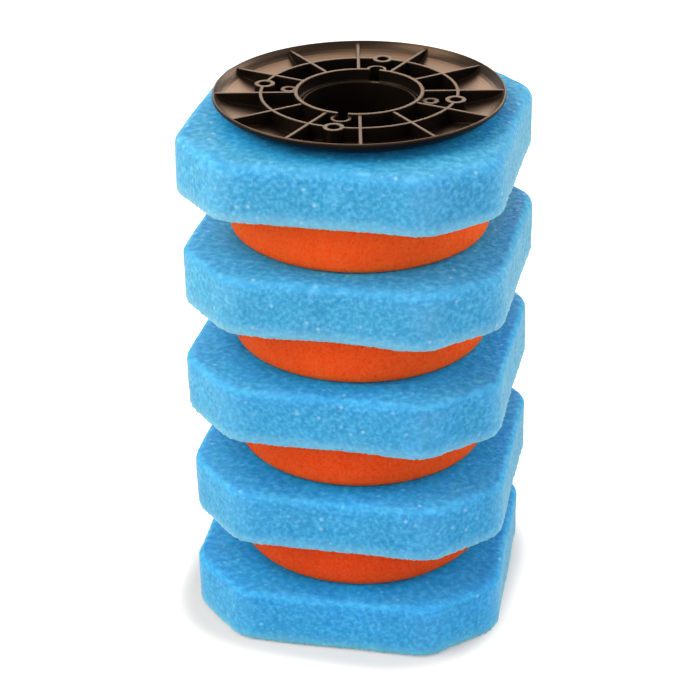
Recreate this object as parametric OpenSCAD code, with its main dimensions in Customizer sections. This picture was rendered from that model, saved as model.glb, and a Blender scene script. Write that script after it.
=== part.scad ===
// Foam cartridge of a pond filter. Five blue foam blocks and four orange foam spacers are
// threaded on a slotted core tube that stands on a base plate. A ribbed pressure plate slides
// down the tube and squeezes the foam to wash it. The origin is under the tube, on the floor.

/* [Foam blocks] */
// Width of a blue foam block, flat to flat
block_w = 270; // [250:1:320]
// Leg of the cut across each corner of a block
block_cut = 52; // [45:1:65]
// Rounding of a block's upright edges
block_round = 35; // [20:1:42]
// Thickness of a block
block_t = 50; // [40:1:70]
// Turn of each block on the tube, bottom to top, in degrees
block_turn = [4, 3, 2.5, 2, 2];
// Softness of the foam's upper and lower edges, as a radius
foam_edge = 6; // [3:0.5:8]
// Gap that the foam leaves round the tube and the base plate
foam_gap = 0.3; // [0.1:0.1:1]
// Gap under and over a block, where it lies against its neighbours
seat_gap = 0.05; // [0.02:0.01:0.1]

/* [Foam spacers] */
// Diameter of an orange spacer
spacer_d = 218; // [200:1:236]
// Thickness of a spacer
spacer_t = 50; // [30:1:70]

/* [Core tube] */
// Outer diameter of the tube
core_d = 98; // [88:1:104]
// Wall of the tube
core_wall = 3; // [2.4:0.2:4]
// Lead-in chamfer on the tube's top edge
core_chamfer = 1; // [0.4:0.2:1.6]
// Width of a guide rib on the tube
guide_w = 7; // [4:0.5:9]
// How far a guide rib stands out of the tube
guide_out = 4; // [2:0.5:5]
// Width of a water slot
slot_w = 7; // [4:0.5:9]
// Solid band of tube left between two rows of slots
slot_bridge = 16; // [10:1:22]
// Water slots round the tube
slot_columns = 12; // [8:4:16]

/* [Pressure plate] */
// Outer diameter of the plate
plate_d = 241; // [220:1:250]
// Height of the plate's rim over the foam
plate_h = 16.5; // [13:0.5:20]
// Thickness of the plate's floor
plate_floor = 2.5; // [2:0.25:3.5]
// Height of the rim's outer face
rim_t = 3; // [2.5:0.25:4]
// Rounding of the rim's upper edge
rim_round = 1.25; // [0.75:0.25:2]
// How far the tops of the ribs lie below the rim
rib_drop = 2; // [1:0.5:3]
// Number of radial ribs
rib_count = 12; // [8:4:16]
// Thickness of a rib
rib_t = 2.6; // [2:0.2:3.6]
// Radius of the round stiffening wall, at its middle
ring_r = 80.8; // [78:0.2:84]
// Thickness of the stiffening wall
ring_t = 2.6; // [2:0.2:3.6]
// Wall of the hub round its socket
hub_wall = 3; // [2.4:0.2:4]
// How far the hub stands above the ribs
hub_rise = 0.5; // [0.25:0.25:1.5]
// Depth of the outlet socket above the tube
socket_depth = 9.5; // [6:0.5:11]
// Ledge between the socket and the sliding bore
socket_ledge = 1.2; // [0.8:0.2:2]
// Clearance between the plate and the tube it slides on
slide_gap = 0.3; // [0.2:0.1:0.6]
// Room on each side of a guide rib where it passes the hub's wall
neck_gap = 0.75; // [0.5:0.25:1.25]
// Diameter of the round pocket behind the hub's wall
pocket_d = 12; // [11:0.5:13]
// How far the middle of a pocket lies outside the hub
pocket_out = 4.6; // [4.2:0.2:5]
// Wall round a pocket
pocket_wall = 2.4; // [2:0.2:3]
// How far the top of a pocket's wall lies below the hub's top
pocket_drop = 1.8; // [0.6:0.2:3]
// Outer diameter of a boss on the stiffening wall
boss_d = 17; // [15:0.5:19]
// Hole in a boss
boss_hole_d = 10; // [6:0.5:11]
// Outer diameter of a small boss beside the hub
pilot_d = 14; // [12:0.5:15]
// Hole in a small boss
pilot_hole_d = 7; // [5:0.5:8]
// How far the top of a small boss lies below the ribs
pilot_drop = 3; // [0.5:0.5:4]

/* [Base plate] */
// Outer diameter of the base plate
base_d = 204; // [180:1:220]
// Height of the base plate
base_h = 8; // [7:0.5:12]
// Thickness of the base plate's disc
base_t = 3; // [2.5:0.5:4]
// Thickness of the base plate's ribs and rings
base_rib_t = 3; // [2:0.5:4]
// Height of the spigot that centres the tube
spigot_h = 10; // [6:1:14]
// Wall of the spigot
spigot_wall = 2.5; // [2:0.25:3.5]
// Clearance between the spigot and the tube
spigot_gap = 0.2; // [0.1:0.1:0.4]

/* [Base screws] */
// Diameter of a screw's shank
screw_d = 4; // [3:0.5:5]
// Length of a screw's shank
screw_len = 16; // [12:1:20]
// Diameter of a screw's head
screw_head_d = 8.4; // [7:0.2:9]
// Height of a screw's head
screw_head_h = 2.6; // [2:0.2:3]
// Width of the cross cut in a screw's head
screw_cross_w = 1.2; // [0.8:0.1:1.6]
// Depth of the cross cut
screw_cross_h = 1.4; // [1:0.1:1.8]
// Clearance round a shank in the base plate
screw_gap = 0.25; // [0.1:0.05:0.5]
// Clearance round a shank in its boss
thread_gap = 0.05; // [0.02:0.01:0.1]
// Wall of the tube's boss round a screw
screw_boss_wall = 2.5; // [2:0.25:3]
// Depth of the boss past a screw's tip
screw_tip_room = 2; // [1:0.5:4]

/* [Hidden] */
$fn = 72;
blocks = 5;
spacers = blocks - 1;
layers = blocks + spacers;
through = 1;          // overshoot of a cut past the face that it opens
overlap = 0.6;        // bite of one moulded feature into the next
rib_phase = 180 / rib_count;
arc_steps = 4;
edge_steps = 2;
dish_steps = 12;
dish_cone = 0.45;     // share of the dish's rise that is a plain cone
dish_lip = 8;         // how sharply the rest turns up into the rim
dish_crowd = 1.5;     // how the points of the dish crowd towards the rim, 1 for evenly spaced
screws = 4;

pitch = block_t + spacer_t;
stack_h = blocks * block_t + spacers * spacer_t;
core_r = core_d / 2;
core_bore_r = core_r - core_wall;
slide_r = core_r + slide_gap;
socket_r = slide_r + socket_ledge;
hub_r = socket_r + hub_wall;
rib_h = plate_h - rib_drop;
hub_top = rib_h + hub_rise;
core_top = stack_h + hub_top - socket_depth;
core_h = core_top - base_h;
plate_r = plate_d / 2;
rim_top_r = plate_r - rim_round;
dish_r = ring_r + ring_t / 2;
neck_w = guide_w + 2 * neck_gap;
pocket_r = pocket_d / 2;
pocket_y = hub_r + pocket_out;
pilot_x = hub_r + pilot_d / 2 - overlap;
inner_ring_r = core_r + base_rib_t;
screw_boss_r = screw_d / 2 + screw_boss_wall;
screw_circle_r = core_bore_r - screw_boss_r + overlap;
screw_boss_h = screw_len - base_t + screw_tip_room;

blue = [0.18, 0.56, 0.83];
orange = [0.86, 0.29, 0.09];
dark_plastic = [0.16, 0.13, 0.11];
steel = [0.70, 0.70, 0.68];

// Outline of a block: a square whose corners are cut at 45 degrees, with every edge rounded.
// Side k faces 45 * k degrees, and the arc at its end turns from its normal to the next one.
// An inset outline keeps the arcs' centres.
function side_distance(k) = k % 2 == 0 ? block_w / 2 : (block_w - block_cut) / sqrt(2);
function arc_centre(k) =
    let (a = 45 * k, b = a + 45)
    let (da = side_distance(k) - block_round, db = side_distance(k + 1) - block_round)
    [da * sin(b) - db * sin(a), db * cos(a) - da * cos(b)] / sin(45);
function block_outline(inset) = [
    for (k = [0:7], j = [0:arc_steps])
        let (turn = 45 * (k + j / arc_steps))
        arc_centre(k) + (block_round - inset) * [cos(turn), sin(turn)]
];

// A soft edge rolls from the side wall, at 0 degrees, to the flat face, at 90 degrees.
function edge_inset(a) = foam_edge * (1 - cos(a));
function edge_rise(a) = foam_edge * (1 - sin(a));
edge_angles = [for (j = [0:edge_steps]) 90 * j / edge_steps];

// Height of the dish's underside over the foam at a share of the way from the flat to the rim: a cone
// that turns up into the lip. The shares lie closer together where the curve is.
function dish_z(share) =
    (plate_h - plate_floor) * (dish_cone * share + (1 - dish_cone) * pow(share, dish_lip));
dish_shares = [for (j = [0:dish_steps]) 1 - pow(1 - j / dish_steps, dish_crowd)];
dish_under = [for (f = dish_shares) [dish_r + (rim_top_r - dish_r) * f, dish_z(f)]];

// Space that the tube and its two guide ribs take out of a foam piece of height t.
module core_space(t) {
    translate([0, 0, -through])
        cylinder(h = t + 2 * through, r = core_r + foam_gap);
    translate([-guide_w / 2 - foam_gap, -core_r - guide_out - foam_gap, -through])
        cube([guide_w + 2 * foam_gap, 2 * (core_r + guide_out + foam_gap), t + 2 * through]);
}

// Blue foam block, counted from the bottom. The lowest one is cut out for the base plate.
module foam_block(i) {
    color(blue)
        translate([0, 0, i * pitch])
            difference() {
                rotate(block_turn[i])
                    hull()
                        for (a = edge_angles)
                            translate([0, 0, seat_gap + edge_rise(a)])
                                linear_extrude(block_t - 2 * (seat_gap + edge_rise(a)))
                                    polygon(block_outline(edge_inset(a)));
                core_space(block_t);
                if (i == 0)
                    translate([0, 0, -through])
                        cylinder(h = base_h + through, r = base_d / 2 + foam_gap);
            }
}

// Point on a spacer's lower edge.
function spacer_edge(a) = [spacer_d / 2 - edge_inset(a), edge_rise(a)];

// Orange foam spacer between block i and the next.
module foam_spacer(i) {
    color(orange)
        translate([0, 0, i * pitch + block_t])
            difference() {
                rotate_extrude()
                    polygon(concat(
                        [[0, 0]],
                        [for (j = [edge_steps:-1:0]) spacer_edge(edge_angles[j])],
                        [for (a = edge_angles) [spacer_edge(a)[0], spacer_t - spacer_edge(a)[1]]],
                        [[0, spacer_t]]
                    ));
                core_space(spacer_t);
            }
}

// One water slot with round ends, lying on the tube's wall at height z and angle a.
module water_slot(a, z, length) {
    straight = length - slot_w;
    rotate(a)
        translate([core_r - core_wall - through, 0, z])
            rotate([90, 0, 90])
                linear_extrude(core_wall + 2 * through) {
                    square([slot_w, straight], center = true);
                    for (end = [-1, 1])
                        translate([0, end * straight / 2]) circle(d = slot_w);
                }
}

// Middle height and thickness of a layer of the stack, counted from the bottom.
function layer_t(k) = k % 2 == 0 ? block_t : spacer_t;
function layer_mid(k) = floor(k / 2) * pitch + (k % 2 == 0 ? block_t / 2 : block_t + spacer_t / 2);

// Slotted tube with two guide ribs, a plain upper end and, at its foot, bosses for the base screws.
module core_tube() {
    color(dark_plastic) {
        difference() {
            union() {
                translate([0, 0, base_h])
                    rotate_extrude()
                        polygon([
                            [core_bore_r, 0], [core_r, 0], [core_r, core_h - core_chamfer],
                            [core_r - core_chamfer, core_h], [core_bore_r, core_h]
                        ]);
                for (side = [0, 180])
                    rotate(side)
                        translate([-guide_w / 2, core_r - overlap, base_h])
                            cube([guide_w, guide_out + overlap, core_h - core_chamfer]);
                for (k = [0:screws - 1])
                    rotate(360 / screws * k)
                        translate([screw_circle_r, 0, base_h])
                            cylinder(h = screw_boss_h, r = screw_boss_r);
            }
            for (k = [0:screws - 1])
                rotate(360 / screws * k)
                    translate([screw_circle_r, 0, base_h - through])
                        cylinder(h = screw_boss_h + 2 * through, d = screw_d + 2 * thread_gap);
            for (k = [1:layers - 2], c = [0:slot_columns - 1])
                water_slot((c + 0.5) * 360 / slot_columns, layer_mid(k), layer_t(k) - slot_bridge);
        }
    }
}

// The room over the dish's underside, up to the tops of the ribs.
module dish_room() {
    rotate_extrude()
        polygon(concat(
            [[slide_r, rib_h], [slide_r, 0]],
            dish_under,
            [[rim_top_r, rib_h]]
        ));
}

// Dished floor of the pressure plate, with a rolled rim.
module dish_floor() {
    rotate_extrude()
        polygon(concat(
            [[slide_r, 0]],
            dish_under,
            [[plate_r, plate_h - rim_t]],
            [
                for (j = [0:arc_steps])
                    let (a = 90 * j / arc_steps)
                    [rim_top_r, plate_h - rim_round] + rim_round * [cos(a), sin(a)]
            ],
            [for (j = [dish_steps - 1:-1:0]) dish_under[j] + [0, plate_floor]],
            [[slide_r, plate_floor]]
        ));
}

// Ribs, stiffening wall and bosses that stand on the floor.
module dish_ribs() {
    for (k = [0:rib_count - 1])
        rotate(rib_phase + 360 / rib_count * k)
            translate([hub_r - overlap, -rib_t / 2, 0])
                cube([plate_r - hub_r, rib_t, rib_h]);
    difference() {
        cylinder(h = rib_h, r = ring_r + ring_t / 2);
        translate([0, 0, -through])
            cylinder(h = rib_h + 2 * through, r = ring_r - ring_t / 2);
    }
    for (k = [0:3])
        rotate(90 * k) translate([ring_r, 0, 0]) cylinder(h = rib_h, d = boss_d);
    for (side = [0, 180])
        rotate(side)
            translate([pilot_x, 0, 0]) cylinder(h = rib_h - pilot_drop, d = pilot_d);
}

// Ribbed plate that presses on the foam. Its hub slides on the tube and holds the outlet socket.
module pressure_plate() {
    color(dark_plastic)
        translate([0, 0, stack_h])
            difference() {
                union() {
                    dish_floor();
                    intersection() {
                        dish_ribs();
                        dish_room();
                    }
                    cylinder(h = hub_top, r = hub_r);
                    for (side = [-1, 1])
                        translate([0, side * pocket_y, 0])
                            cylinder(h = hub_top - pocket_drop, r = pocket_r + pocket_wall);
                }
                translate([0, 0, -through])
                    cylinder(h = hub_top + 2 * through, r = slide_r);
                translate([0, 0, hub_top - socket_depth])
                    cylinder(h = socket_depth + through, r = socket_r);
                for (side = [0, 180])
                    rotate(side)
                        translate([0, 0, -through]) {
                            translate([0, pocket_y, 0])
                                cylinder(h = hub_top + 2 * through, r = pocket_r);
                            translate([-neck_w / 2, 0, 0])
                                cube([neck_w, pocket_y, hub_top + 2 * through]);
                        }
                for (k = [0:3])
                    rotate(90 * k)
                        translate([ring_r, 0, plate_floor])
                            cylinder(h = plate_h, d = boss_hole_d);
                for (side = [0, 180])
                    rotate(side)
                        translate([pilot_x, 0, plate_floor])
                            cylinder(h = plate_h, d = pilot_hole_d);
            }
}

// Plate under the lowest block: a disc with rings and ribs below and a spigot for the tube above.
module base_plate() {
    base_r = base_d / 2;
    spigot_r = core_bore_r - spigot_gap;
    color(dark_plastic)
        difference() {
            union() {
                rotate_extrude()
                    polygon([
                        [0, base_h - base_t], [base_r - base_rib_t, base_h - base_t],
                        [base_r - base_rib_t, 0], [base_r, 0], [base_r, base_h],
                        [spigot_r, base_h], [spigot_r, base_h + spigot_h],
                        [spigot_r - spigot_wall, base_h + spigot_h],
                        [spigot_r - spigot_wall, base_h], [0, base_h]
                    ]);
                difference() {
                    cylinder(h = base_h - base_t + overlap, r = inner_ring_r);
                    translate([0, 0, -through])
                        cylinder(h = base_h + 2 * through, r = inner_ring_r - base_rib_t);
                }
                for (k = [0:rib_count - 1])
                    rotate(rib_phase + 360 / rib_count * k)
                        translate([inner_ring_r - overlap, -base_rib_t / 2, 0])
                            cube([
                                base_r - base_rib_t - inner_ring_r + 2 * overlap,
                                base_rib_t, base_h - base_t + overlap
                            ]);
            }
            for (k = [0:screws - 1])
                rotate(360 / screws * k)
                    translate([screw_circle_r, 0, 0]) {
                        translate([0, 0, -through])
                            cylinder(h = base_h + 2 * through, d = screw_d + 2 * screw_gap);
                        translate([0, 0, base_h])
                            cylinder(h = spigot_h + through, r = screw_boss_r + spigot_gap);
                    }
        }
}

// Four screws that pull the tube down on the base plate.
module base_screws() {
    head_z = base_h - base_t - screw_head_h;
    color(steel)
        for (k = [0:screws - 1])
            rotate(360 / screws * k)
                translate([screw_circle_r, 0, head_z])
                    difference() {
                        union() {
                            cylinder(h = screw_head_h, d = screw_head_d);
                            cylinder(h = screw_head_h + screw_len, d = screw_d);
                        }
                        for (a = [0, 90])
                            rotate(a)
                                translate([-screw_d / 2, -screw_cross_w / 2, -through])
                                    cube([screw_d, screw_cross_w, screw_cross_h + through]);
                    }
}

foam_block(0);  // foam_block_1
foam_block(1);  // foam_block_2
foam_block(2);  // foam_block_3
foam_block(3);  // foam_block_4
foam_block(4);  // foam_block_5
foam_spacer(0);  // foam_spacer_1
foam_spacer(1);  // foam_spacer_2
foam_spacer(2);  // foam_spacer_3
foam_spacer(3);  // foam_spacer_4
pressure_plate();
core_tube();
base_plate();
base_screws();
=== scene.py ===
import math

import bpy
import numpy as np
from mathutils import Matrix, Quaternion, Vector


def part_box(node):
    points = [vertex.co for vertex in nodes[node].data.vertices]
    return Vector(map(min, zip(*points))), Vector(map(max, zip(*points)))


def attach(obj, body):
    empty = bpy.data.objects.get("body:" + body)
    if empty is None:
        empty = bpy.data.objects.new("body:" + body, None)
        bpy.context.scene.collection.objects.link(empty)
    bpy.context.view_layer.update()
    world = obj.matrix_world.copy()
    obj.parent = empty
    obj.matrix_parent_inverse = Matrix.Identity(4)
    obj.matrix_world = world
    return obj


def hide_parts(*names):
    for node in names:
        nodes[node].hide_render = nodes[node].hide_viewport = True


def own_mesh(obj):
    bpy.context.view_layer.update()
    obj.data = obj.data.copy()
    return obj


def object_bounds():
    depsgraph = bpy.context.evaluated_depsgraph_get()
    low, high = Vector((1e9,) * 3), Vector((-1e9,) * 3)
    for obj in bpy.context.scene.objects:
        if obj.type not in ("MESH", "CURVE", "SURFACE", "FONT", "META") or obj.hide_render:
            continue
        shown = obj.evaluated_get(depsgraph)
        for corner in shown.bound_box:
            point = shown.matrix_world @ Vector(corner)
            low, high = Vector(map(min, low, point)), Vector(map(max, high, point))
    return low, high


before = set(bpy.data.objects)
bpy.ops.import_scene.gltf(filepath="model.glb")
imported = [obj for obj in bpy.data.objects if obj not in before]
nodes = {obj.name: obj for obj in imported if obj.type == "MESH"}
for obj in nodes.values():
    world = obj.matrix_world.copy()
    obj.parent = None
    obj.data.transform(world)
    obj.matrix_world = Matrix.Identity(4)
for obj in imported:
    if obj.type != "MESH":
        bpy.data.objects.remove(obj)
cadLow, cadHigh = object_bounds()
print("frame loaded:", len(nodes), "nodes")

mm = 0.001   # one millimetre in Blender's metres
white = (1, 1, 1, 1)


def hexToLinear(code):
    # sRGB hex to the linear colour that the shader sockets take
    srgb = np.array([int(code[i:i + 2], 16) for i in (1, 3, 5)]) / 255
    linear = np.where(srgb <= 0.04045, srgb / 12.92, ((srgb + 0.055) / 1.055) ** 2.4)
    return (*linear, 1.0)


def addNode(tree, kind, inputs=None, **settings):
    # one node with its settings; an input that is a socket, or a node for its first output, becomes a link
    # a Mix node has its two numbers at 2 and 3, its two colours at 6 and 7 and the mixed colour at output 2
    node = tree.nodes.new(kind)
    for name, value in settings.items():
        setattr(node, name, value)
    for name, value in (inputs or {}).items():
        if isinstance(value, bpy.types.Node):
            value = value.outputs[0]
        if isinstance(value, bpy.types.NodeSocket):
            tree.links.new(value, node.inputs[name])
        else:
            node.inputs[name].default_value = value
    return node


def newMaterial(name):
    material = bpy.data.materials.new(name)
    material.use_nodes = True
    material.node_tree.nodes.clear()
    return material, material.node_tree


def addObject(name, data):
    made = bpy.data.objects.new(name, data)
    bpy.context.scene.collection.objects.link(made)
    return made


# Camera: the photograph's viewing angle
cameraSpec = {
    "azimuth": 14.97,          # degrees, 0 looks along +Y
    "elevation": 28.02,        # degrees above the horizon
    "roll": 0.64,              # degrees that the picture leans to the left
    "distance": 1732.6 * mm,
    "aimHeight": 224.65 * mm,
    "aimSide": -9.88 * mm,     # towards the right of the picture
    "focalPixels": 1978.4,     # focal length in pixels of the frame
    "framePixels": 700,
    "sensor": 36.0,            # width in mm
}


def makeCamera(spec):
    # stands back from the aim point; returns the picture's level directions, to the right and into it
    azimuth, elevation = math.radians(spec["azimuth"]), math.radians(spec["elevation"])
    aside = Vector((math.cos(azimuth), math.sin(azimuth), 0))
    ahead = Vector((-math.sin(azimuth), math.cos(azimuth), 0))
    back = Vector((0, 0, math.sin(elevation))) - ahead * math.cos(elevation)
    data = bpy.data.cameras.new("camera")
    data.sensor_width = spec["sensor"]
    data.lens = spec["focalPixels"] / spec["framePixels"] * spec["sensor"]
    camera = addObject("camera", data)
    aim = Vector((0, 0, spec["aimHeight"])) + aside * spec["aimSide"]
    camera.location = aim + back * spec["distance"]
    camera.rotation_mode = "QUATERNION"
    level = (-back).to_track_quat("-Z", "Y")
    camera.rotation_quaternion = level @ Quaternion((0, 0, 1), -math.radians(spec["roll"]))
    bpy.context.scene.camera = camera
    return aside, ahead


viewAside, viewAhead = makeCamera(cameraSpec)

# Stage: white floor and surround, and soft studio light
stageSpec = {
    "floorSize": 12.0,
    "floorColour": "#BEBCB9",
    "glowNear": 0.24,          # part of the floor's white that shows without a lamp beside the lowest block; less than far off, which paints shade round its foot
    "glowFar": 0.85,           # and away from it, where the paper is plain white
    "glowFrom": 135 * mm,
    "glowTo": 166 * mm,
    "glowLean": (-9 * mm, -7 * mm),   # the rings lie this far to the picture's right and into it, which moves the painted shade
    "squareness": 3.24,        # power that makes the rings of equal glow follow a square with cut corners
    "ambient": 0.45,
    "ambientColour": "#FFFFFF",
    "horizon": (0.08, 0.24),   # sines of the heights where the white surround fades out of a reflection
    "lampAim": 0.6,            # share of the object's height that the lamps point at
}
lampSpecs = [
    # side, ahead and height from the origin, in the picture's directions; width and height of the panel
    {"name": "leftKey", "place": (-1.6, -0.6, 2.1), "size": (1.6, 1.6), "watts": 41, "colour": "#FFF8F0"},
    {"name": "leftLow", "place": (-2.1, -0.6, 1.1), "size": (1.2, 0.9), "watts": 16, "colour": "#FFECD8"},
    {"name": "frontFill", "place": (0.2, -2.1, 0.9), "size": (2.2, 1.3), "watts": 15.5, "colour": "#FFFFFF"},
    {"name": "rightFill", "place": (1.9, -0.7, 1.3), "size": (1.6, 1.4), "watts": 13, "colour": "#F8FAFF"},
    {"name": "backFill", "place": (1.8, 1.1, 1.15), "size": (1.4, 1.0), "watts": 20, "colour": "#FFEEDD"},
    # two panels that only show in the gloss of the plastic
    {"name": "backPanel", "place": (0.0, 1.66, 1.58), "size": (1.6, 2.3), "watts": 52, "colour": "#FFE0C4",
     "glossOnly": True},
    {"name": "topPanel", "place": (-0.2, 0.2, 2.15), "size": (0.9, 0.8), "watts": 5.5, "colour": "#FFF0E0",
     "glossOnly": True},
]


def makeFloorPaper(spec):
    # matt white paper; the camera also sees part of its white as glow, less of it round the object's foot,
    # so that the real shadow shows there and a painted shade with it
    material, tree = newMaterial("whitePaperFloor")
    paper = addNode(tree, "ShaderNodeBsdfDiffuse", {"Color": hexToLinear(spec["floorColour"])})
    # distance from the middle as the root of a sum of powers of x and y
    place = addNode(tree, "ShaderNodeTexCoord").outputs["Object"]
    lean = viewAside * spec["glowLean"][0] + viewAhead * spec["glowLean"][1]
    offset = addNode(tree, "ShaderNodeVectorMath", {0: place, 1: lean}, operation="SUBTRACT")
    span = addNode(tree, "ShaderNodeVectorMath", {0: offset}, operation="ABSOLUTE")
    reach = addNode(tree, "ShaderNodeSeparateXYZ", {"Vector": span})
    power = spec["squareness"]
    powers = [addNode(tree, "ShaderNodeMath", {0: reach.outputs[axis], 1: power}, operation="POWER")
              for axis in ("X", "Y")]
    total = addNode(tree, "ShaderNodeMath", {0: powers[0], 1: powers[1]}, operation="ADD")
    away = addNode(tree, "ShaderNodeMath", {0: total, 1: 1 / power}, operation="POWER")
    level = addNode(tree, "ShaderNodeMapRange", {
        "Value": away, "From Min": spec["glowFrom"], "From Max": spec["glowTo"],
        "To Min": spec["glowNear"], "To Max": spec["glowFar"]}, interpolation_type="SMOOTHSTEP")
    glow = addNode(tree, "ShaderNodeEmission", {"Color": white, "Strength": level})
    glowing = addNode(tree, "ShaderNodeAddShader", {0: paper, 1: glow})
    path = addNode(tree, "ShaderNodeLightPath").outputs
    seen = addNode(tree, "ShaderNodeMath", {0: path["Is Camera Ray"], 1: path["Is Transmission Ray"]},
                   operation="MAXIMUM")
    pick = addNode(tree, "ShaderNodeMixShader", {"Fac": seen, 1: paper, 2: glowing})
    addNode(tree, "ShaderNodeOutputMaterial", {"Surface": pick})
    return material


def makeFloor(spec):
    half = spec["floorSize"] / 2
    mesh = bpy.data.meshes.new("floor")
    corners = [(-half, -half, 0), (half, -half, 0), (half, half, 0), (-half, half, 0)]
    mesh.from_pydata(corners, [], [(0, 1, 2, 3)])
    mesh.materials.append(makeFloorPaper(spec))
    floor = addObject("floor", mesh)


def makeSurround(spec):
    world = bpy.data.worlds.new("studio")
    world.use_nodes = True
    bpy.context.scene.world = world
    tree = world.node_tree
    tree.nodes.clear()
    soft = addNode(tree, "ShaderNodeBackground",
                   {"Color": hexToLinear(spec["ambientColour"]), "Strength": spec["ambient"]})
    plain = addNode(tree, "ShaderNodeBackground", {"Color": white, "Strength": 1.0})
    # the camera sees white all round; a reflection sees it up to the top of the surround
    ray = addNode(tree, "ShaderNodeTexCoord").outputs["Generated"]
    height = addNode(tree, "ShaderNodeSeparateXYZ", {"Vector": ray}).outputs["Z"]
    low = addNode(tree, "ShaderNodeMapRange", {
        "Value": height, "From Min": spec["horizon"][0], "From Max": spec["horizon"][1],
        "To Min": 1.0, "To Max": 0.0})
    path = addNode(tree, "ShaderNodeLightPath").outputs
    shiny = addNode(tree, "ShaderNodeMath", {0: path["Is Glossy Ray"], 1: low}, operation="MULTIPLY")
    through = addNode(tree, "ShaderNodeMath", {0: path["Is Transmission Ray"], 1: shiny},
                      operation="MAXIMUM")
    seen = addNode(tree, "ShaderNodeMath", {0: path["Is Camera Ray"], 1: through}, operation="MAXIMUM")
    pick = addNode(tree, "ShaderNodeMixShader", {"Fac": seen, 1: soft, 2: plain})
    addNode(tree, "ShaderNodeOutputWorld", {"Surface": pick})


def makeLamp(spec, aim):
    data = bpy.data.lights.new(spec["name"], "AREA")
    data.shape = "RECTANGLE"
    data.size, data.size_y = spec["size"]
    data.energy = spec["watts"]
    data.color = hexToLinear(spec["colour"])[:3]
    lamp = addObject(spec["name"], data)
    side, ahead, height = spec["place"]
    lamp.location = viewAside * side + viewAhead * ahead + Vector((0, 0, height))
    lamp.rotation_mode = "QUATERNION"
    lamp.rotation_quaternion = (aim - lamp.location).to_track_quat("-Z", "Y")
    if spec.get("glossOnly"):
        lamp.visible_diffuse = False


makeFloor(stageSpec)
makeSurround(stageSpec)
for lampSpec in lampSpecs:
    makeLamp(lampSpec, Vector((0, 0, cadHigh.z * stageSpec["lampAim"])))
bpy.context.scene.view_settings.view_transform = "Standard"
print("camera, floor and lamps set")

# Open-cell foam: one jittered seed per cell of a cubic lattice; the nearest two seeds give the cell walls
poreSpec = {
    "wall": (0.04, 0.42),      # from the middle of a cell's wall to its open part, in cell sizes
    "wallLift": 0.45,          # share of the pore depth that the walls stand above the plain skin
    "tuftLength": 5,           # length of the tufts in cell sizes
    "tuftShare": 0.22,         # and their height as a share of the pore depth
    "waveLength": 85 * mm,
    "tornCell": 2.4 * mm,      # size of the torn cells on a cut edge
}
hashSpec = {
    "axes": (73856093, 19349663, 83492791),   # large numbers that tell the three directions apart
    "seed": 2654435761,
    "spread": 1274126177,
    "step": 374761393,
}


def cellSeeds(cell, seed):
    # three numbers from 0 to 1 for each lattice cell, from an integer hash
    x, y, z = (cell[:, axis] * number for axis, number in enumerate(hashSpec["axes"]))
    mixed = x ^ y ^ z ^ (seed * hashSpec["seed"])
    out = []
    for step in range(3):
        mixed = (mixed ^ (mixed >> 13)) * hashSpec["spread"] + step * hashSpec["step"]
        mixed = mixed & 0x7FFFFFFF
        out.append(((mixed >> 7) & 0xFFFF) / 0xFFFF)
    return np.stack(out, axis=1)


def cellDistances(points, size, seed):
    # distance from each point to its nearest and second nearest seed, in cell sizes
    scaled = points / size
    home = np.floor(scaled).astype(np.int64)
    first = np.full(len(points), np.inf)
    second = np.full(len(points), np.inf)
    for offset in np.ndindex(3, 3, 3):
        cell = home + (np.array(offset) - 1)
        gap = np.linalg.norm(cell + cellSeeds(cell, seed) - scaled, axis=1)
        second = np.minimum(second, np.maximum(first, gap))
        first = np.minimum(first, gap)
    return first, second


def smoothStep(low, high, value):
    # 0 up to low and 1 from high on, with a cubic between them
    t = np.clip((value - low) / (high - low), 0, 1)
    return t * t * (3 - 2 * t)


def bell(distance, reach):
    # 1 at no distance, then e to the power of minus the squared distance, counted in reaches
    return np.exp(-(distance / reach) ** 2)


def slowWave(points, length, seed):
    # sum of plane waves in seeded directions, divided so that it is about -1 to 1
    waves, usualHeight = 4, 2.5
    rng = np.random.default_rng(seed)
    total = np.zeros(len(points))
    for _ in range(waves):
        direction = rng.normal(size=3)
        direction = direction / np.linalg.norm(direction)
        total += np.sin(points @ direction * (2 * math.pi / length) + rng.uniform(0, 2 * math.pi))
    return total / usualHeight


def gridNormals(points):
    # outward normals of a closed grid of rows and columns, from central differences
    along = np.roll(points, -1, axis=0) - np.roll(points, 1, axis=0)
    around = np.roll(points, -1, axis=1) - np.roll(points, 1, axis=1)
    normal = np.cross(around, along)
    return normal / np.maximum(np.linalg.norm(normal, axis=2, keepdims=True), 1e-12)


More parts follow.
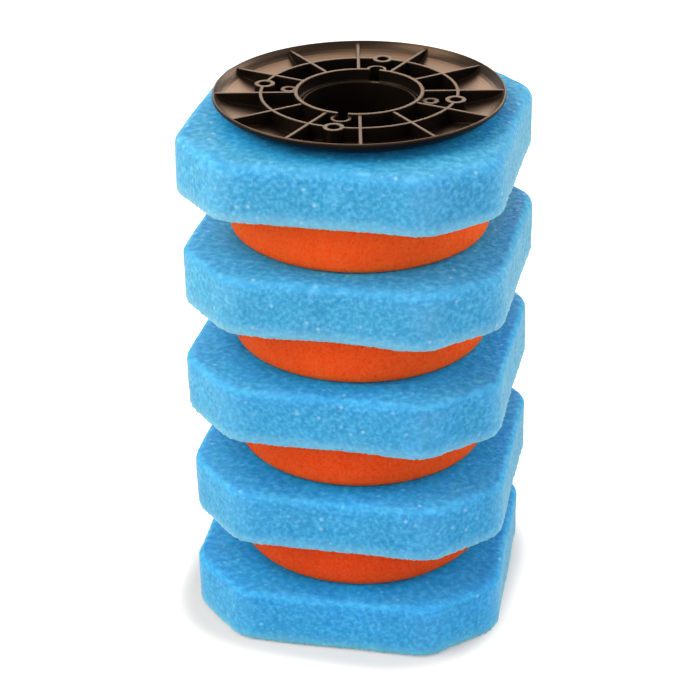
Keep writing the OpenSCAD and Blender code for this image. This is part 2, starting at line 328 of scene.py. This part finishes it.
def closedGridPiece(name, points, rowLength, values):
    # a ring-shaped skin: every row joins the next and every column the next, both ways round
    rows, columns = points.shape[:2]
    index = np.arange(rows * columns).reshape(rows, columns)
    right, above = np.roll(index, -1, axis=1), np.roll(index, -1, axis=0)
    quads = np.stack([index, right, np.roll(above, -1, axis=1), above], axis=2).reshape(-1, 4)
    mesh = bpy.data.meshes.new(name)
    mesh.vertices.add(rows * columns)
    mesh.vertices.foreach_set("co", points.astype(np.float32).ravel())
    mesh.loops.add(quads.size)
    mesh.loops.foreach_set("vertex_index", quads.astype(np.int32).ravel())
    mesh.polygons.add(len(quads))
    mesh.polygons.foreach_set("loop_start", np.arange(0, quads.size, 4, dtype=np.int32))
    mesh.update(calc_edges=True)
    mesh.polygons.foreach_set("use_smooth", np.ones(len(quads), bool))
    # flat map: the strip round the piece is cut into four bands, one above the other
    bands, margin = 4, 0.01
    height = np.concatenate([[0], np.cumsum(rowLength)])
    height = height / height[-1] * (1 - 2 * margin) + margin
    perBand = columns // bands
    place = np.arange(columns) % perBand / perBand
    band = np.minimum(np.arange(columns) // perBand, bands - 1)
    left = place * (1 - 2 * margin) + margin
    step = (1 - 2 * margin) / perBand
    flat = np.zeros((rows, columns, 4, 2), np.float32)
    for number, (across, up) in enumerate(((0, 0), (1, 0), (1, 1), (0, 1))):
        flat[:, :, number, 0] = left + across * step
        flat[:, :, number, 1] = (band[None, :] + height[up:rows + up, None]) / bands
    layer = mesh.uv_layers.new(name="OFBake")
    layer.uv.foreach_set("vector", flat.ravel())
    for key, value in values.items():
        attribute = mesh.attributes.new(key, "FLOAT", "POINT")
        attribute.data.foreach_set("value", value.astype(np.float32).ravel())
    return addObject(name, mesh)


# What the foam fits round comes from the solids
firstLow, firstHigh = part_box("foam_spacer_1")
coreLow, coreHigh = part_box("core_tube")
baseLow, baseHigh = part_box("base_plate")
foamGap = 0.3 * mm
boreRadius = (coreHigh.x - coreLow.x) / 2 + foamGap
baseRadius = (baseHigh.x - baseLow.x) / 2 + foamGap
baseTop = 8 * mm               # height of the base plate's disc, which lies in the lowest block
plateFlat = 84 * mm            # the plate's flat underside ends here
blockSpec = {
    "width": 270 * mm,
    "cut": 52 * mm,            # leg of the corner cut
    "round": 35 * mm,          # rounding of the upright edges
    "edge": 6.0 * mm,          # softness of the lower edge
    "pitch": 1.27 * mm,        # spacing of the skin's points
    "cell": 3.8 * mm,          # pore spacing of coarse filter foam
    "poreDepth": 0.5 * mm,
    "wave": 0.7 * mm,
    "fringe": 1.1 * mm,        # how far torn cells stand out on the lower edge
    "fringeReach": 3.0 * mm,
    "tuck": 3 * mm,            # how far the skin's close rows go on under a spacer
    "contact": (2 * mm, 7 * mm),   # distances past that circle over which a level face's pores begin
    "edgeGlowReach": {"lower": 7.5 * mm, "upper": 5.0 * mm, "upright": 14.0 * mm},   # painted light: paleness of the edges
    "edgeGlowShare": {"lower": 1.0, "upper": 0.15, "upright": 0.25},
    "uprightFrom": 5 * mm,     # upright edges get painted light from this far off the level faces
    "faceDepth": 0.5 * mm,     # what lies this near to a level face belongs to it
    "paintedShadeDepth": 4 * mm,      # how far down the painted shade, a deeper blue, goes
    "plateRim": 112 * mm,      # the painted shade on the top block fades out from this radius
    "sag": (108 * mm, 158 * mm),   # radii between which the free corners sink
    "sagPower": 1.3,
    "firstSeed": 20,
    # one value for each block, bottom to top, lengths in mm
    "upperEdge": (5, 5, 5, 6, 8.5),            # softness of the upper edge
    "paintedPieceShade": (0.45, 0.28, 0.2, 0.05, 0.05),    # painted shade: how much deeper the whole block's blue is, most on the lowest
    "paintedShade": (0.85, 0.8, 0.75, 0.35, 0.75),    # painted shade: how much deeper it is beside the piece on top
    "paintedShadeReach": (30, 30, 30, 30, 15),        # and how far from that piece
    "turns": (4, 3, 2.5, 2, 2),                # degrees
    "lay": (-0.9, 2.1, -0.8, 0.8, -1.7),       # sideways lie of the soft block in the picture
    "droop": (0, 0.8, 0.8, 1.0, 1.5),          # how far the free corners sink
}
spacerSpec = {
    "radius": (firstHigh.x - firstLow.x) / 2,
    "edge": 6.0 * mm,
    "bulge": 1.2 * mm,
    "pitch": 1.25 * mm,
    "cell": 1.5 * mm,          # pore spacing of fine filter foam
    "poreDepth": 0.45 * mm,
    "wave": 0.35 * mm,
    "tuck": 2 * mm,            # how far the skin's close rows go on between the blocks
    "contact": (0.2 * mm, 2.5 * mm),   # heights over which the pores begin beside a block
    "firstSeed": 60,
    "paintedPieceShade": (1.0, 0.5, 0.25, 0.0),    # painted shade: how much deeper a spacer's orange is, bottom to top
}


def blockOutline(spec, turn):
    # eight sides facing every 45 degrees, joined by arcs and walked at even steps;
    # returns the points, their normals and how far each is from the middle of an arc
    sides, arcSteps, corner = 8, 25, math.radians(45)
    side = [spec["width"] / 2, (spec["width"] - spec["cut"]) / math.sqrt(2)] * (sides // 2)
    facing = corner * np.arange(sides + 1)
    reach = np.array(side + side[:1]) - spec["round"]
    a, b = facing[:-1], facing[1:]
    centreX = (reach[:-1] * np.sin(b) - reach[1:] * np.sin(a)) / math.sin(corner)
    centreY = (reach[1:] * np.cos(a) - reach[:-1] * np.cos(b)) / math.sin(corner)
    sweep = np.linspace(0, 1, arcSteps)
    angle = (a[:, None] + (b - a)[:, None] * sweep).ravel()
    x = np.repeat(centreX, arcSteps) + spec["round"] * np.cos(angle)
    y = np.repeat(centreY, arcSteps) + spec["round"] * np.sin(angle)
    x, y, angle = (np.append(v, v[0] + more) for v, more in ((x, 0), (y, 0), (angle, 2 * math.pi)))
    walked = np.concatenate([[0], np.cumsum(np.hypot(np.diff(x), np.diff(y)))])
    lap = walked[-1]
    count = int(lap / spec["pitch"]) // 4 * 4
    at = np.arange(count) / count * lap
    px, py, normal = (np.interp(at, walked, v) for v in (x, y, angle))
    turned = math.radians(turn)
    c, s = math.cos(turned), math.sin(turned)
    points = np.stack([px * c - py * s, px * s + py * c], axis=1)
    normals = np.stack([np.cos(normal + turned), np.sin(normal + turned)], axis=1)
    arcAt = walked[:-1].reshape(sides, arcSteps).mean(axis=1)
    off = np.abs((at[:, None] - arcAt[None, :] + lap / 2) % lap - lap / 2).min(axis=1)
    return points, normals, off


def foamSkin(outline, normals, form):
    # a closed profile carried round the outline: lower edge, side, upper edge, top face, bore, under face;
    # an edge's row is the outline moved in along its normals, by the sine or cosine of a quarter turn,
    # a face's row lies a share of the way from there to a circle, and covered rows are plain circles
    low, high, pitch = form["low"], form["high"], form["pitch"]
    edge, upperEdge, recess = form["edge"], form["upperEdge"], form["recess"]
    angle = np.arctan2(outline[:, 1], outline[:, 0])
    ring = np.stack([np.cos(angle), np.sin(angle)], axis=1)
    lowerArc, upperArc = (np.linspace(0, math.pi / 2, max(6, int(radius * math.pi / 2 / pitch) + 1))
                          for radius in (edge, upperEdge))
    sideHeight = high - low - edge - upperEdge
    sideRows = max(4, int(sideHeight / pitch))
    rows, covered = [], []

    def addRow(xy, z, isCovered=False):
        rows.append(np.column_stack([xy, np.full(len(xy), z)]))
        covered.append(isCovered)

    def addFace(z, rim, seen, coveredRings):
        count = max(2, int((np.linalg.norm(rim, axis=1).mean() - seen) / pitch))
        for share in np.linspace(0, 1, count + 1)[1:]:
            addRow(rim + (ring * seen - rim) * share, z)
        for radius, height in coveredRings:
            addRow(ring * radius, height, True)

    def ringsToBore(z, seen):
        return [(boreRadius + (seen - boreRadius) * share, z) for share in (0.66, 0.33, 0.0)]

    for t in lowerArc:
        addRow(outline - normals * edge * (1 - math.sin(t)), low + edge * (1 - math.cos(t)))
    for share in np.linspace(0, 1, sideRows + 1)[1:-1]:
        addRow(outline, low + edge + sideHeight * share)
    for t in upperArc:
        addRow(outline - normals * upperEdge * (1 - math.cos(t)), high - upperEdge * (1 - math.sin(t)))
    lowerRow, upperRow = len(lowerArc) // 2, len(rows) - len(upperArc) // 2
    addFace(high, outline - normals * upperEdge, form["seenTop"], ringsToBore(high, form["seenTop"]))
    boreFoot = recess[-1][1] if recess else low
    for share in (0.5,) if recess else (0.75, 0.5, 0.25):
        addRow(ring * boreRadius, boreFoot + (high - boreFoot) * share, True)
    # the under face is walked inwards, then turned round so that the profile closes on the lower edge
    underStart = len(rows)
    underRings = recess or ringsToBore(low, form["seenBottom"])
    addFace(low, outline - normals * edge, form["seenBottom"], underRings)
    rows[underStart:] = rows[underStart:][::-1]
    covered[underStart:] = covered[underStart:][::-1]
    return np.stack(rows), np.array(covered), lowerRow, upperRow


def rowSteps(points, covered):
    # mean length from each row to the next, with covered rows drawn small on the flat map
    coveredShare = 0.15
    step = np.linalg.norm(np.roll(points, -1, axis=0) - points, axis=2).mean(axis=1)
    return np.where(covered, step * coveredShare, step)


def roughen(points, spec, seed, fade, fringe):
    # slow waviness, then pores: the skin sinks into each cell and stays up along the cell walls;
    # on a cut edge each small torn cell stands out by its own amount
    flat = points.reshape(-1, 3)
    first, second = cellDistances(flat, spec["cell"], seed)
    pore = smoothStep(*poreSpec["wall"], second - first)
    wave = slowWave(flat, poreSpec["waveLength"], seed + 3)
    tuft = slowWave(flat, spec["cell"] * poreSpec["tuftLength"], seed + 7)
    torn = cellSeeds(np.floor(flat / poreSpec["tornCell"]).astype(np.int64), seed + 11)[:, 0]
    lift = spec["poreDepth"] * (poreSpec["wallLift"] - pore + poreSpec["tuftShare"] * tuft)
    lift = lift + spec["wave"] * wave + fringe.ravel() * torn
    moved = flat + gridNormals(points).reshape(-1, 3) * (lift * fade.ravel())[:, None]
    return moved.reshape(points.shape), pore.reshape(points.shape[:2])


def makeBlock(number, spec):
    low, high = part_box("foam_block_%d" % (number + 1))
    isLowest, isTop = number == 0, number == 4
    outline, normals, off = blockOutline(spec, spec["turns"][number])
    outline = outline + np.array([viewAside.x, viewAside.y]) * spec["lay"][number] * mm
    underSpacer = spacerSpec["radius"] - spec["tuck"]
    seenTop = plateFlat if isTop else underSpacer
    seenBottom = baseRadius if isLowest else underSpacer
    points, covered, lowerRow, upperRow = foamSkin(outline, normals, {
        "low": low.z, "high": high.z, "pitch": spec["pitch"], "edge": spec["edge"],
        "upperEdge": spec["upperEdge"][number] * mm, "seenTop": seenTop, "seenBottom": seenBottom,
        "recess": [(baseRadius, baseTop), (boreRadius, baseTop)] if isLowest else None})
    z = points[:, :, 2]
    radius = np.linalg.norm(points[:, :, :2], axis=2)
    offFace = np.minimum(np.abs(z - low.z), np.abs(z - high.z))
    # pores fade out where another piece or the floor lies against the foam, so that flat faces still meet
    reach = np.where(z > (low.z + high.z) / 2, seenTop, seenBottom)
    begins, ends = spec["contact"]
    fade = np.where(offFace < spec["faceDepth"], smoothStep(begins, ends, radius - reach), 1.0)
    fade = fade * ~covered[:, None]
    if isLowest:
        fade = np.where(z < low.z + spec["faceDepth"], 0.0, fade)
    # the edges' paleness, which is painted light, and the torn cells are bells of the distance along the
    # profile from an edge
    step = rowSteps(points, covered)
    walked = np.concatenate([[0], np.cumsum(step)[:-1]])[:, None]
    fromLower, fromUpper = walked - walked[lowerRow], walked - walked[upperRow]
    edgeGlowReach, edgeGlowShare = spec["edgeGlowReach"], spec["edgeGlowShare"]
    upright = bell(off[None, :], edgeGlowReach["upright"]) * (offFace > spec["uprightFrom"])
    edge = np.maximum(edgeGlowShare["lower"] * bell(fromLower, edgeGlowReach["lower"]),
                      edgeGlowShare["upper"] * bell(fromUpper, edgeGlowReach["upper"]))
    edge = np.maximum(edge, edgeGlowShare["upright"] * upright)
    fringe = spec["fringe"] * bell(fromLower, spec["fringeReach"]) * fade
    # painted shade: the blue is deeper round the piece that lies on the block, a bell of the distance from
    # its rim
    rim = spec["plateRim"] if isTop else spacerSpec["radius"]
    beside = bell(np.maximum(radius - rim, 0), spec["paintedShadeReach"][number] * mm)
    beside = beside * (offFace < spec["paintedShadeDepth"])
    paintedShade = np.maximum(spec["paintedShade"][number] * beside, spec["paintedPieceShade"][number])
    points, pore = roughen(points, spec, spec["firstSeed"] + number, fade, fringe)
    points[:, :, 2] -= spec["droop"][number] * mm * smoothStep(*spec["sag"], radius) ** spec["sagPower"]
    if isLowest:
        points[:, :, 2] = np.maximum(points[:, :, 2], low.z)   # stands flat on the floor
    values = {"pore": pore, "edge": edge, "paintedShade": paintedShade}
    return closedGridPiece("blueFoam%d" % (number + 1), points, step, values)


def makeSpacer(number, spec):
    low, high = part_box("foam_spacer_%d" % (number + 1))
    count = int(2 * math.pi * spec["radius"] / spec["pitch"]) // 4 * 4
    angle = np.arange(count) / count * 2 * math.pi
    normals = np.stack([np.cos(angle), np.sin(angle)], axis=1)
    seen = spec["radius"] - spec["edge"] - spec["tuck"]
    points, covered, _, _ = foamSkin(normals * spec["radius"], normals, {
        "low": low.z, "high": high.z, "pitch": spec["pitch"], "edge": spec["edge"],
        "upperEdge": spec["edge"], "seenTop": seen, "seenBottom": seen, "recess": None})
    # the foam stands a little proud at half height, as a lightly pressed ring does: a parabola of the height
    share = np.clip((points[:, :, 2] - low.z) / (high.z - low.z), 0, 1)
    outer = np.linalg.norm(points[:, :, :2], axis=2) > seen
    swell = 1 + spec["bulge"] / spec["radius"] * 4 * share * (1 - share) * outer
    points[:, :, :2] *= swell[:, :, None]
    offFace = np.minimum(np.abs(points[:, :, 2] - low.z), np.abs(points[:, :, 2] - high.z))
    fade = smoothStep(*spec["contact"], offFace) * ~covered[:, None]
    none = np.zeros(points.shape[:2])
    points, pore = roughen(points, spec, spec["firstSeed"] + number, fade, none)
    # the whole spacer gets its painted shade
    values = {"pore": pore, "edge": none, "paintedShade": none + spec["paintedPieceShade"][number]}
    return closedGridPiece("orangeFoam%d" % (number + 1), points, rowSteps(points, covered), values)


# Reticulated polyurethane filter foam, cut from sheet: a matt net of struts that light sinks into, so that
# it looks soft and grainy; its pale cut edges are painted light and its deeper colour where pieces lie on it
# is painted shade
foamFinish = {
    "side": (0.35, 0.8),         # upward part of the normal, from the sides to the level faces
    "stretch": 1.5,              # how much longer the net's cells are along the sheet
    "levelContrast": 0.9,        # contrast of the net on level faces
    "noiseRoughness": 0.45,
    "tones": (0.2, 0.5, 0.8),    # where the deep, middle and strut colours lie
    "glintSpot": (0.06, 0.26),   # middle and rim of a painted glint, in its cells
    "paintedGlintAmount": 0.45,
    "glintChance": (0.6, 0.9),
    "patchNoise": (0.25, 0.75),
    "patchValue": (0.94, 1.06),
    "roughness": (0.95, 0.55),   # in the cells and on the struts
    "bumpDepth": 1.2 * mm,
    "gloss": 0.1,
    "fuzzRoughness": 0.36,
    "ior": 1.5,
}
blueFoamSpec = {
    "name": "blueFilterFoam",
    "deep": "#3595C5", "middle": "#47A4D1", "strut": "#60BBE2",
    # the edge colour is painted light, the glow of a cut edge
    "edge": "#A8D8EE", "edgeGlowAmount": 0.42,
    "paintedShadeTint": (0.12, 0.84, 1.2),   # what the colour is multiplied by for painted shade
    # size of each pattern in mm and its share in the tone
    "grain": (3.7, 1.15), "fine": (1.4, 0.2), "cell": (2.2, 0.1), "clump": (9, 0.25), "poreShare": 0.1,
    "patch": 45, "bump": 0.1,
    # painted glint colour
    "paintedGlint": "#D6EEFA", "glintCell": 9,
    "fuzz": "#C8E6F6", "fuzzAmount": 0.9,
    "glow": 0.75, "glowReach": (0.1, 0.4, 1.0), "glowDepth": 30,   # light that sinks in, depth in mm
}
orangeFoamSpec = {
    "name": "orangeFilterFoam",
    "deep": "#EC4C12", "middle": "#FF581A", "strut": "#FF6828",
    # the edge colour is painted light, the glow of a cut edge
    "edge": "#F69466", "edgeGlowAmount": 0.2,
    # what the colour is multiplied by for painted shade
    "paintedShadeTint": (0.9, 0.75, 0.85),
    "grain": (2.4, 0.8), "fine": (1.0, 0.2), "cell": (1.5, 0.1), "clump": (7, 0.25), "poreShare": 0.15,
    "patch": 60, "bump": 0.3,
    # painted glint colour
    "paintedGlint": "#FF6A2A", "glintCell": 12,
    "fuzz": "#F6B08A", "fuzzAmount": 0.1,
    "glow": 0.7, "glowReach": (1.0, 0.25, 0.1), "glowDepth": 16,
}


def makeFoamMaterial(spec, finish):
    material, tree = newMaterial(spec["name"])
    place = addNode(tree, "ShaderNodeTexCoord").outputs["Object"]
    skin = {}
    for name in ("pore", "edge", "paintedShade"):
        skin[name] = addNode(tree, "ShaderNodeAttribute", attribute_name=name).outputs["Fac"]
    noise = {}
    for name, size, detail in (
            ("grain", spec["grain"][0], 1.0), ("longGrain", spec["grain"][0] * finish["stretch"], 1.0),
            ("fine", spec["fine"][0], 0.0), ("clump", spec["clump"][0], 2.0), ("patch", spec["patch"], 2.0)):
        noise[name] = addNode(tree, "ShaderNodeTexNoise", {
            "Vector": place, "Scale": 1 / (size * mm), "Detail": detail,
            "Roughness": finish["noiseRoughness"]})
    # the level faces show the net along the sheet, where its cells are longer
    normal = addNode(tree, "ShaderNodeNewGeometry").outputs["Normal"]
    upward = addNode(tree, "ShaderNodeSeparateXYZ", {"Vector": normal}).outputs["Z"]
    side = addNode(tree, "ShaderNodeMapRange", {
        "Value": upward, "From Min": finish["side"][0], "From Max": finish["side"][1],
        "To Min": 1.0, "To Max": 0.0})
    grain = addNode(tree, "ShaderNodeMix", {"Factor": side, 2: noise["longGrain"], 3: noise["grain"]})
    cells = addNode(tree, "ShaderNodeTexVoronoi", {"Vector": place, "Scale": 1 / (spec["cell"][0] * mm)})
    # tone: how light the net is here, above or below the middle; each pattern adds its share
    tone = 0.0
    for pattern, share in ((grain, spec["grain"][1]), (noise["fine"], spec["fine"][1]),
                           (cells, spec["cell"][1]), (skin["pore"], -spec["poreShare"]),
                           (noise["clump"], spec["clump"][1])):
        added = addNode(tree, "ShaderNodeMath", {0: pattern, 1: share, 2: -0.5 * share},
                        operation="MULTIPLY_ADD")
        tone = addNode(tree, "ShaderNodeMath", {0: tone, 1: added}, operation="ADD")
    contrast = addNode(tree, "ShaderNodeMapRange", {
        "Value": side, "To Min": finish["levelContrast"], "To Max": 1.0})
    tone = addNode(tree, "ShaderNodeMath", {0: tone, 1: contrast, 2: 0.5}, operation="MULTIPLY_ADD")
    ramp = addNode(tree, "ShaderNodeValToRGB", {"Fac": tone})
    stops = ramp.color_ramp.elements
    stops.new(finish["tones"][1])
    for stop, position, name in zip(stops, finish["tones"], ("deep", "middle", "strut")):
        stop.position = position
        stop.color = hexToLinear(spec[name])
    # painted glints: the colour of a few spots, the middle of some cells of a wide pattern, is lightened
    wide = addNode(tree, "ShaderNodeTexVoronoi", {"Vector": place, "Scale": 1 / (spec["glintCell"] * mm)})
    spot = addNode(tree, "ShaderNodeMapRange", {
        "Value": wide.outputs["Distance"], "To Min": finish["paintedGlintAmount"], "To Max": 0.0,
        "From Min": finish["glintSpot"][0], "From Max": finish["glintSpot"][1]})
    chance = addNode(tree, "ShaderNodeSeparateXYZ", {"Vector": wide.outputs["Color"]}).outputs["X"]
    chosen = addNode(tree, "ShaderNodeMapRange", {
        "Value": chance, "From Min": finish["glintChance"][0], "From Max": finish["glintChance"][1]})
    paintedGlint = addNode(tree, "ShaderNodeMath", {0: spot, 1: chosen}, operation="MULTIPLY")
    withPaintedGlint = addNode(tree, "ShaderNodeMix", {
        "Factor": paintedGlint, 6: ramp, 7: hexToLinear(spec["paintedGlint"])}, data_type="RGBA")
    # painted light on the cut edges, slow random patches of light and dark, and painted shade: a deeper
    # colour round the piece on top and on the lower pieces
    # painted light: the cut edges are lightened towards a pale colour
    edgeGlow = addNode(tree, "ShaderNodeMath", {0: skin["edge"], 1: spec["edgeGlowAmount"]}, operation="MULTIPLY")
    rim = addNode(tree, "ShaderNodeMix", {
        "Factor": edgeGlow, 6: withPaintedGlint.outputs[2], 7: hexToLinear(spec["edge"])}, data_type="RGBA")
    patch = addNode(tree, "ShaderNodeMapRange", {
        "Value": noise["patch"], "From Min": finish["patchNoise"][0], "From Max": finish["patchNoise"][1],
        "To Min": finish["patchValue"][0], "To Max": finish["patchValue"][1]})
    patched = addNode(tree, "ShaderNodeHueSaturation", {"Color": rim.outputs[2], "Value": patch})
    paintedShadeColour = addNode(tree, "ShaderNodeMix", {
        "Factor": skin["paintedShade"], 6: patched, 7: (*spec["paintedShadeTint"], 1.0)},
        data_type="RGBA", blend_type="MULTIPLY")
    # broken struts stand out as fuzz on the cut sides only
    fuzz = addNode(tree, "ShaderNodeMath", {0: side, 1: spec["fuzzAmount"]}, operation="MULTIPLY")
    rough = addNode(tree, "ShaderNodeMapRange", {
        "Value": tone, "To Min": finish["roughness"][0], "To Max": finish["roughness"][1]})
    bump = addNode(tree, "ShaderNodeBump", {
        "Height": grain, "Strength": spec["bump"], "Distance": finish["bumpDepth"]})
    surface = addNode(tree, "ShaderNodeBsdfPrincipled", {
        "Base Color": paintedShadeColour.outputs[2], "Roughness": rough, "IOR": finish["ior"],
        "Specular IOR Level": finish["gloss"], "Normal": bump, "Sheen Weight": fuzz,
        "Sheen Roughness": finish["fuzzRoughness"], "Sheen Tint": hexToLinear(spec["fuzz"]),
        "Subsurface Weight": spec["glow"], "Subsurface Radius": spec["glowReach"],
        "Subsurface Scale": spec["glowDepth"] * mm})
    addNode(tree, "ShaderNodeOutputMaterial", {"Surface": surface})
    return material


# ABS, injection moulded with a satin finish: nearly black brown, broad warm gloss; level tops paler, partly
# wear and partly a painted highlight
mouldedSpec = {
    # the worn colour is wear and also a painted highlight on the level tops
    "colour": "#0D0907", "streak": "#1A130F", "wornHighlight": "#2E251E", "gloss": "#FFD2AC",
    "grain": 0.9,                # mm, coarser than the real one so that it shows at all
    "grainBump": 0.12,
    "grainDepth": 0.2 * mm,
    "flow": 35.714,              # mm, marks of the plastic's flow in the mould
    "flowNoise": (0.35, 0.75),
    "streakAmount": 0.35,
    "edgeRadius": 1.3 * mm,
    "roughness": (0.24, 0.4),    # from one flow mark to the next
    "wall": (0.2, 0.6),          # upward part of the normal, from the walls to the floors
    "shine": (0.12, 0.5),        # walls come matt from the mould, floors shine
    "level": (0.955, 0.985),     # upward part of the normal from which a top counts as level
    "wornBlend": 0.5 * mm,
    "wornRoughness": 0.13,       # added on rubbed tops
    "wornShine": -0.32,          # rubbed tops have lost most of the shine
    "ior": 1.54,
}


def makeMouldedMaterial(spec, name, wornFrom):
    material, tree = newMaterial(name)
    place = addNode(tree, "ShaderNodeTexCoord").outputs["Object"]
    grain = addNode(tree, "ShaderNodeTexNoise", {
        "Vector": place, "Scale": 1 / (spec["grain"] * mm), "Detail": 2.0})
    flow = addNode(tree, "ShaderNodeTexNoise", {
        "Vector": place, "Scale": 1 / (spec["flow"] * mm), "Detail": 4.0, "Roughness": 0.6})
    soft = addNode(tree, "ShaderNodeBevel", {"Radius": spec["edgeRadius"]}, samples=6)
    bump = addNode(tree, "ShaderNodeBump", {
        "Height": grain, "Strength": spec["grainBump"], "Distance": spec["grainDepth"], "Normal": soft})
    streak = addNode(tree, "ShaderNodeMapRange", {
        "Value": flow, "From Min": spec["flowNoise"][0], "From Max": spec["flowNoise"][1],
        "To Max": spec["streakAmount"]})
    streaked = addNode(tree, "ShaderNodeMix", {
        "Factor": streak, 6: hexToLinear(spec["colour"]), 7: hexToLinear(spec["streak"])}, data_type="RGBA")
    # level tops from a height on are rubbed: rougher and less shiny, and paler, which is wear and also a
    # painted highlight
    height = addNode(tree, "ShaderNodeSeparateXYZ", {"Vector": place}).outputs["Z"]
    normal = addNode(tree, "ShaderNodeNewGeometry").outputs["Normal"]
    upward = addNode(tree, "ShaderNodeSeparateXYZ", {"Vector": normal}).outputs["Z"]
    high = addNode(tree, "ShaderNodeMapRange", {
        "Value": height, "From Min": wornFrom - spec["wornBlend"], "From Max": wornFrom})
    level = addNode(tree, "ShaderNodeMapRange", {
        "Value": upward, "From Min": spec["level"][0], "From Max": spec["level"][1]})
    rubbedHighlight = addNode(tree, "ShaderNodeMath", {0: high, 1: level}, operation="MULTIPLY")
    colour = addNode(tree, "ShaderNodeMix", {
        "Factor": rubbedHighlight, 6: streaked.outputs[2], 7: hexToLinear(spec["wornHighlight"])}, data_type="RGBA")
    rough = addNode(tree, "ShaderNodeMapRange", {
        "Value": flow, "To Min": spec["roughness"][0], "To Max": spec["roughness"][1]})
    rough = addNode(tree, "ShaderNodeMath", {0: rubbedHighlight, 1: spec["wornRoughness"], 2: rough},
                    operation="MULTIPLY_ADD")
    shine = addNode(tree, "ShaderNodeMapRange", {
        "Value": upward, "From Min": spec["wall"][0], "From Max": spec["wall"][1],
        "To Min": spec["shine"][0], "To Max": spec["shine"][1]})
    shine = addNode(tree, "ShaderNodeMath", {0: rubbedHighlight, 1: spec["wornShine"], 2: shine},
                    operation="MULTIPLY_ADD")
    surface = addNode(tree, "ShaderNodeBsdfPrincipled", {
        "Base Color": colour.outputs[2], "Roughness": rough, "IOR": spec["ior"], "Normal": bump,
        "Specular IOR Level": shine, "Specular Tint": hexToLinear(spec["gloss"])})
    addNode(tree, "ShaderNodeOutputMaterial", {"Surface": surface})
    return material


# Stainless steel, rolled and turned: grey, with a fine grain that breaks up its shine
screwSpec = {
    "name": "stainlessSteel",
    "colour": "#B9B7B2",
    "grain": 0.4,                # mm
    "roughness": (0.22, 0.44),
}


def makeScrewMaterial(spec):
    material, tree = newMaterial(spec["name"])
    place = addNode(tree, "ShaderNodeTexCoord").outputs["Object"]
    grain = addNode(tree, "ShaderNodeTexNoise", {
        "Vector": place, "Scale": 1 / (spec["grain"] * mm), "Detail": 3.0})
    rough = addNode(tree, "ShaderNodeMapRange", {
        "Value": grain, "To Min": spec["roughness"][0], "To Max": spec["roughness"][1]})
    surface = addNode(tree, "ShaderNodeBsdfPrincipled", {
        "Base Color": hexToLinear(spec["colour"]), "Metallic": 1.0, "Roughness": rough})
    addNode(tree, "ShaderNodeOutputMaterial", {"Surface": surface})
    return material


ribDepth = 5.5 * mm    # the tops of ribs, bosses and hub lie within this of the plate's highest point
rimDepth = 0.5 * mm    # and the tube's rim within this of its top
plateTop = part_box("pressure_plate")[1].z
blueFoam = makeFoamMaterial(blueFoamSpec, foamFinish)
orangeFoam = makeFoamMaterial(orangeFoamSpec, foamFinish)
mouldedPlate = makeMouldedMaterial(mouldedSpec, "satinBrownABS", plateTop - ribDepth)
mouldedTube = makeMouldedMaterial(mouldedSpec, "satinBrownABSTube", coreHigh.z - rimDepth)
screwSteel = makeScrewMaterial(screwSpec)


def settle(piece, node, body, material):
    piece.data.materials.append(material)
    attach(piece, body)
    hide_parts(node)
    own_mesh(piece)


for number in range(5):
    block = makeBlock(number, blockSpec)
    settle(block, "foam_block_%d" % (number + 1), "core" if number == 0 else "block_%d" % (number + 1),
           blueFoam)
for number in range(4):
    spacer = makeSpacer(number, spacerSpec)
    settle(spacer, "foam_spacer_%d" % (number + 1), "spacer_%d" % (number + 1), orangeFoam)
print("foam blocks and spacers made")

for node, material in (("pressure_plate", mouldedPlate), ("core_tube", mouldedTube),
                       ("base_plate", mouldedTube), ("base_screws", screwSteel)):
    mesh = nodes[node].data
    mesh.materials.clear()
    mesh.materials.append(material)
print("plastic and screws finished")
